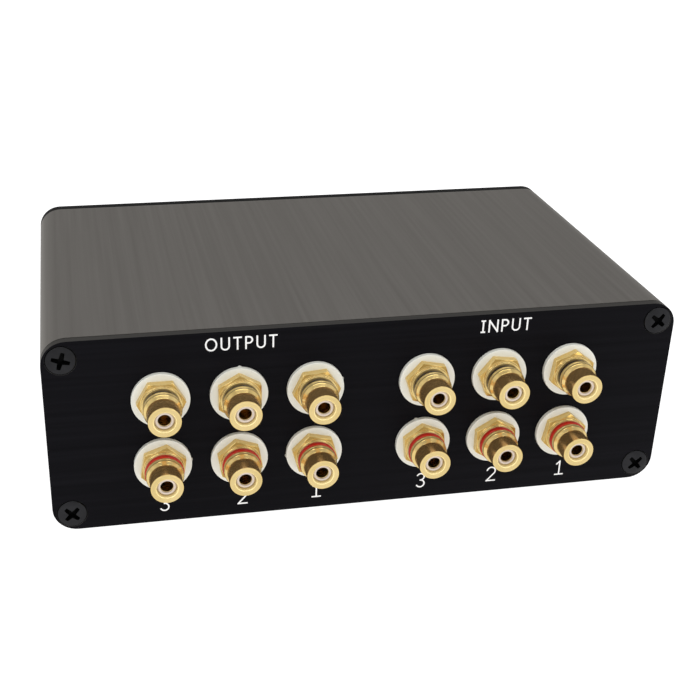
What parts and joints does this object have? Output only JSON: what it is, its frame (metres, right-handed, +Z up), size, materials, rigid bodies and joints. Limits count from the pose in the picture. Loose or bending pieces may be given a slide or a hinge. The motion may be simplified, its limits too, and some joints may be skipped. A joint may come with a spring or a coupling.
{
  "type": "audio source selector",
  "caption": "Flat black aluminium box that joins one of its rear sound inputs to one of its outputs, with gold sockets in two rows at the back and two rotary knobs at the front.",
  "frame": {"origin": "on the table, under the middle of the overall box from the knobs' faces to the sockets' rims", "axes": "+Z up, +X along the case's width with the outputs on +X, +Y out of the socket panel; the knobs face -Y"},
  "size_m": [0.168, 0.1312, 0.0575],
  "materials": {
    "case_black": "black anodised, fine brushed along the depth",
    "panel_black": "black anodised, satin",
    "screw_black": "black oxide, semi gloss",
    "foot_rubber": "matte",
    "ring_black": "glossy",
    "ring_red": "glossy",
    "insulator_white": "satin",
    "contact_gold": "gold plated",
    "nylon_white": "satin",
    "jack_gold": "gold plated, polished",
    "tinned_metal": "tinned",
    "bare_copper": "bare",
    "wire_white": "satin",
    "wire_red": "satin",
    "wire_blue": "satin",
    "knob_black": "black anodised, turned",
    "plain_steel": "nickel plated",
    "switch_white": "moulded",
    "switch_brown": "laminate",
    "switch_blue": "moulded"
  },
  "bodies": {
    "case": {"upper_shell": "case_black", "lower_shell": "case_black", "front_panel": "panel_black", "rear_panel": "panel_black", "front_panel_screws": "screw_black", "rear_panel_screws": "screw_black", "rubber_feet": "foot_rubber", "black_marker_rings": "ring_black", "red_marker_rings": "ring_red", "jack_insulators": "insulator_white", "jack_contacts": "contact_gold", "outer_washers": "nylon_white", "inner_washers": "nylon_white", "ground_tags": "tinned_metal", "jack_nuts": "jack_gold", "left_signal_wires": "wire_white", "right_signal_wires": "wire_red", "link_wires": "wire_blue", "ground_wire": "bare_copper", "input_1_left_jack_body": "jack_gold", "input_1_right_jack_body": "jack_gold", "input_2_left_jack_body": "jack_gold", "input_2_right_jack_body": "jack_gold", "input_3_left_jack_body": "jack_gold", "input_3_right_jack_body": "jack_gold", "output_1_left_jack_body": "jack_gold", "output_1_right_jack_body": "jack_gold", "output_2_left_jack_body": "jack_gold", "output_2_right_jack_body": "jack_gold", "output_3_left_jack_body": "jack_gold", "output_3_right_jack_body": "jack_gold", "input_bushing": "plain_steel", "input_bushing_nut": "plain_steel", "input_lock_washer": "plain_steel", "input_switch_housing": "switch_blue", "input_detent_leaf": "plain_steel", "input_switch_base": "switch_brown", "input_terminals": "tinned_metal", "input_tie_screws": "plain_steel", "output_bushing": "plain_steel", "output_bushing_nut": "plain_steel", "output_lock_washer": "plain_steel", "output_switch_housing": "switch_blue", "output_detent_leaf": "plain_steel", "output_switch_base": "switch_brown", "output_terminals": "tinned_metal", "output_tie_screws": "plain_steel"},
    "input_selector": {"input_knob": "knob_black", "input_knob_set_screw": "plain_steel", "input_shaft": "plain_steel", "input_detent_wheel": "switch_white", "input_rotor": "switch_brown", "input_wipers": "bare_copper"},
    "output_selector": {"output_knob": "knob_black", "output_knob_set_screw": "plain_steel", "output_shaft": "plain_steel", "output_detent_wheel": "switch_white", "output_rotor": "switch_brown", "output_wipers": "bare_copper"}
  },
  "joints": [
    {"name": "input_selector_turn", "type": "hinge", "parent": "case", "child": "input_selector", "pos_m": [-0.035, -0.0491, 0.03025], "axis": [0, 1, 0], "range_deg": [-30, 30], "deforming": ["input_detent_leaf"]},
    {"name": "output_selector_turn", "type": "hinge", "parent": "case", "child": "output_selector", "pos_m": [0.035, -0.0491, 0.03025], "axis": [0, 1, 0], "range_deg": [-30, 30], "deforming": ["output_detent_leaf"]}
  ]
}
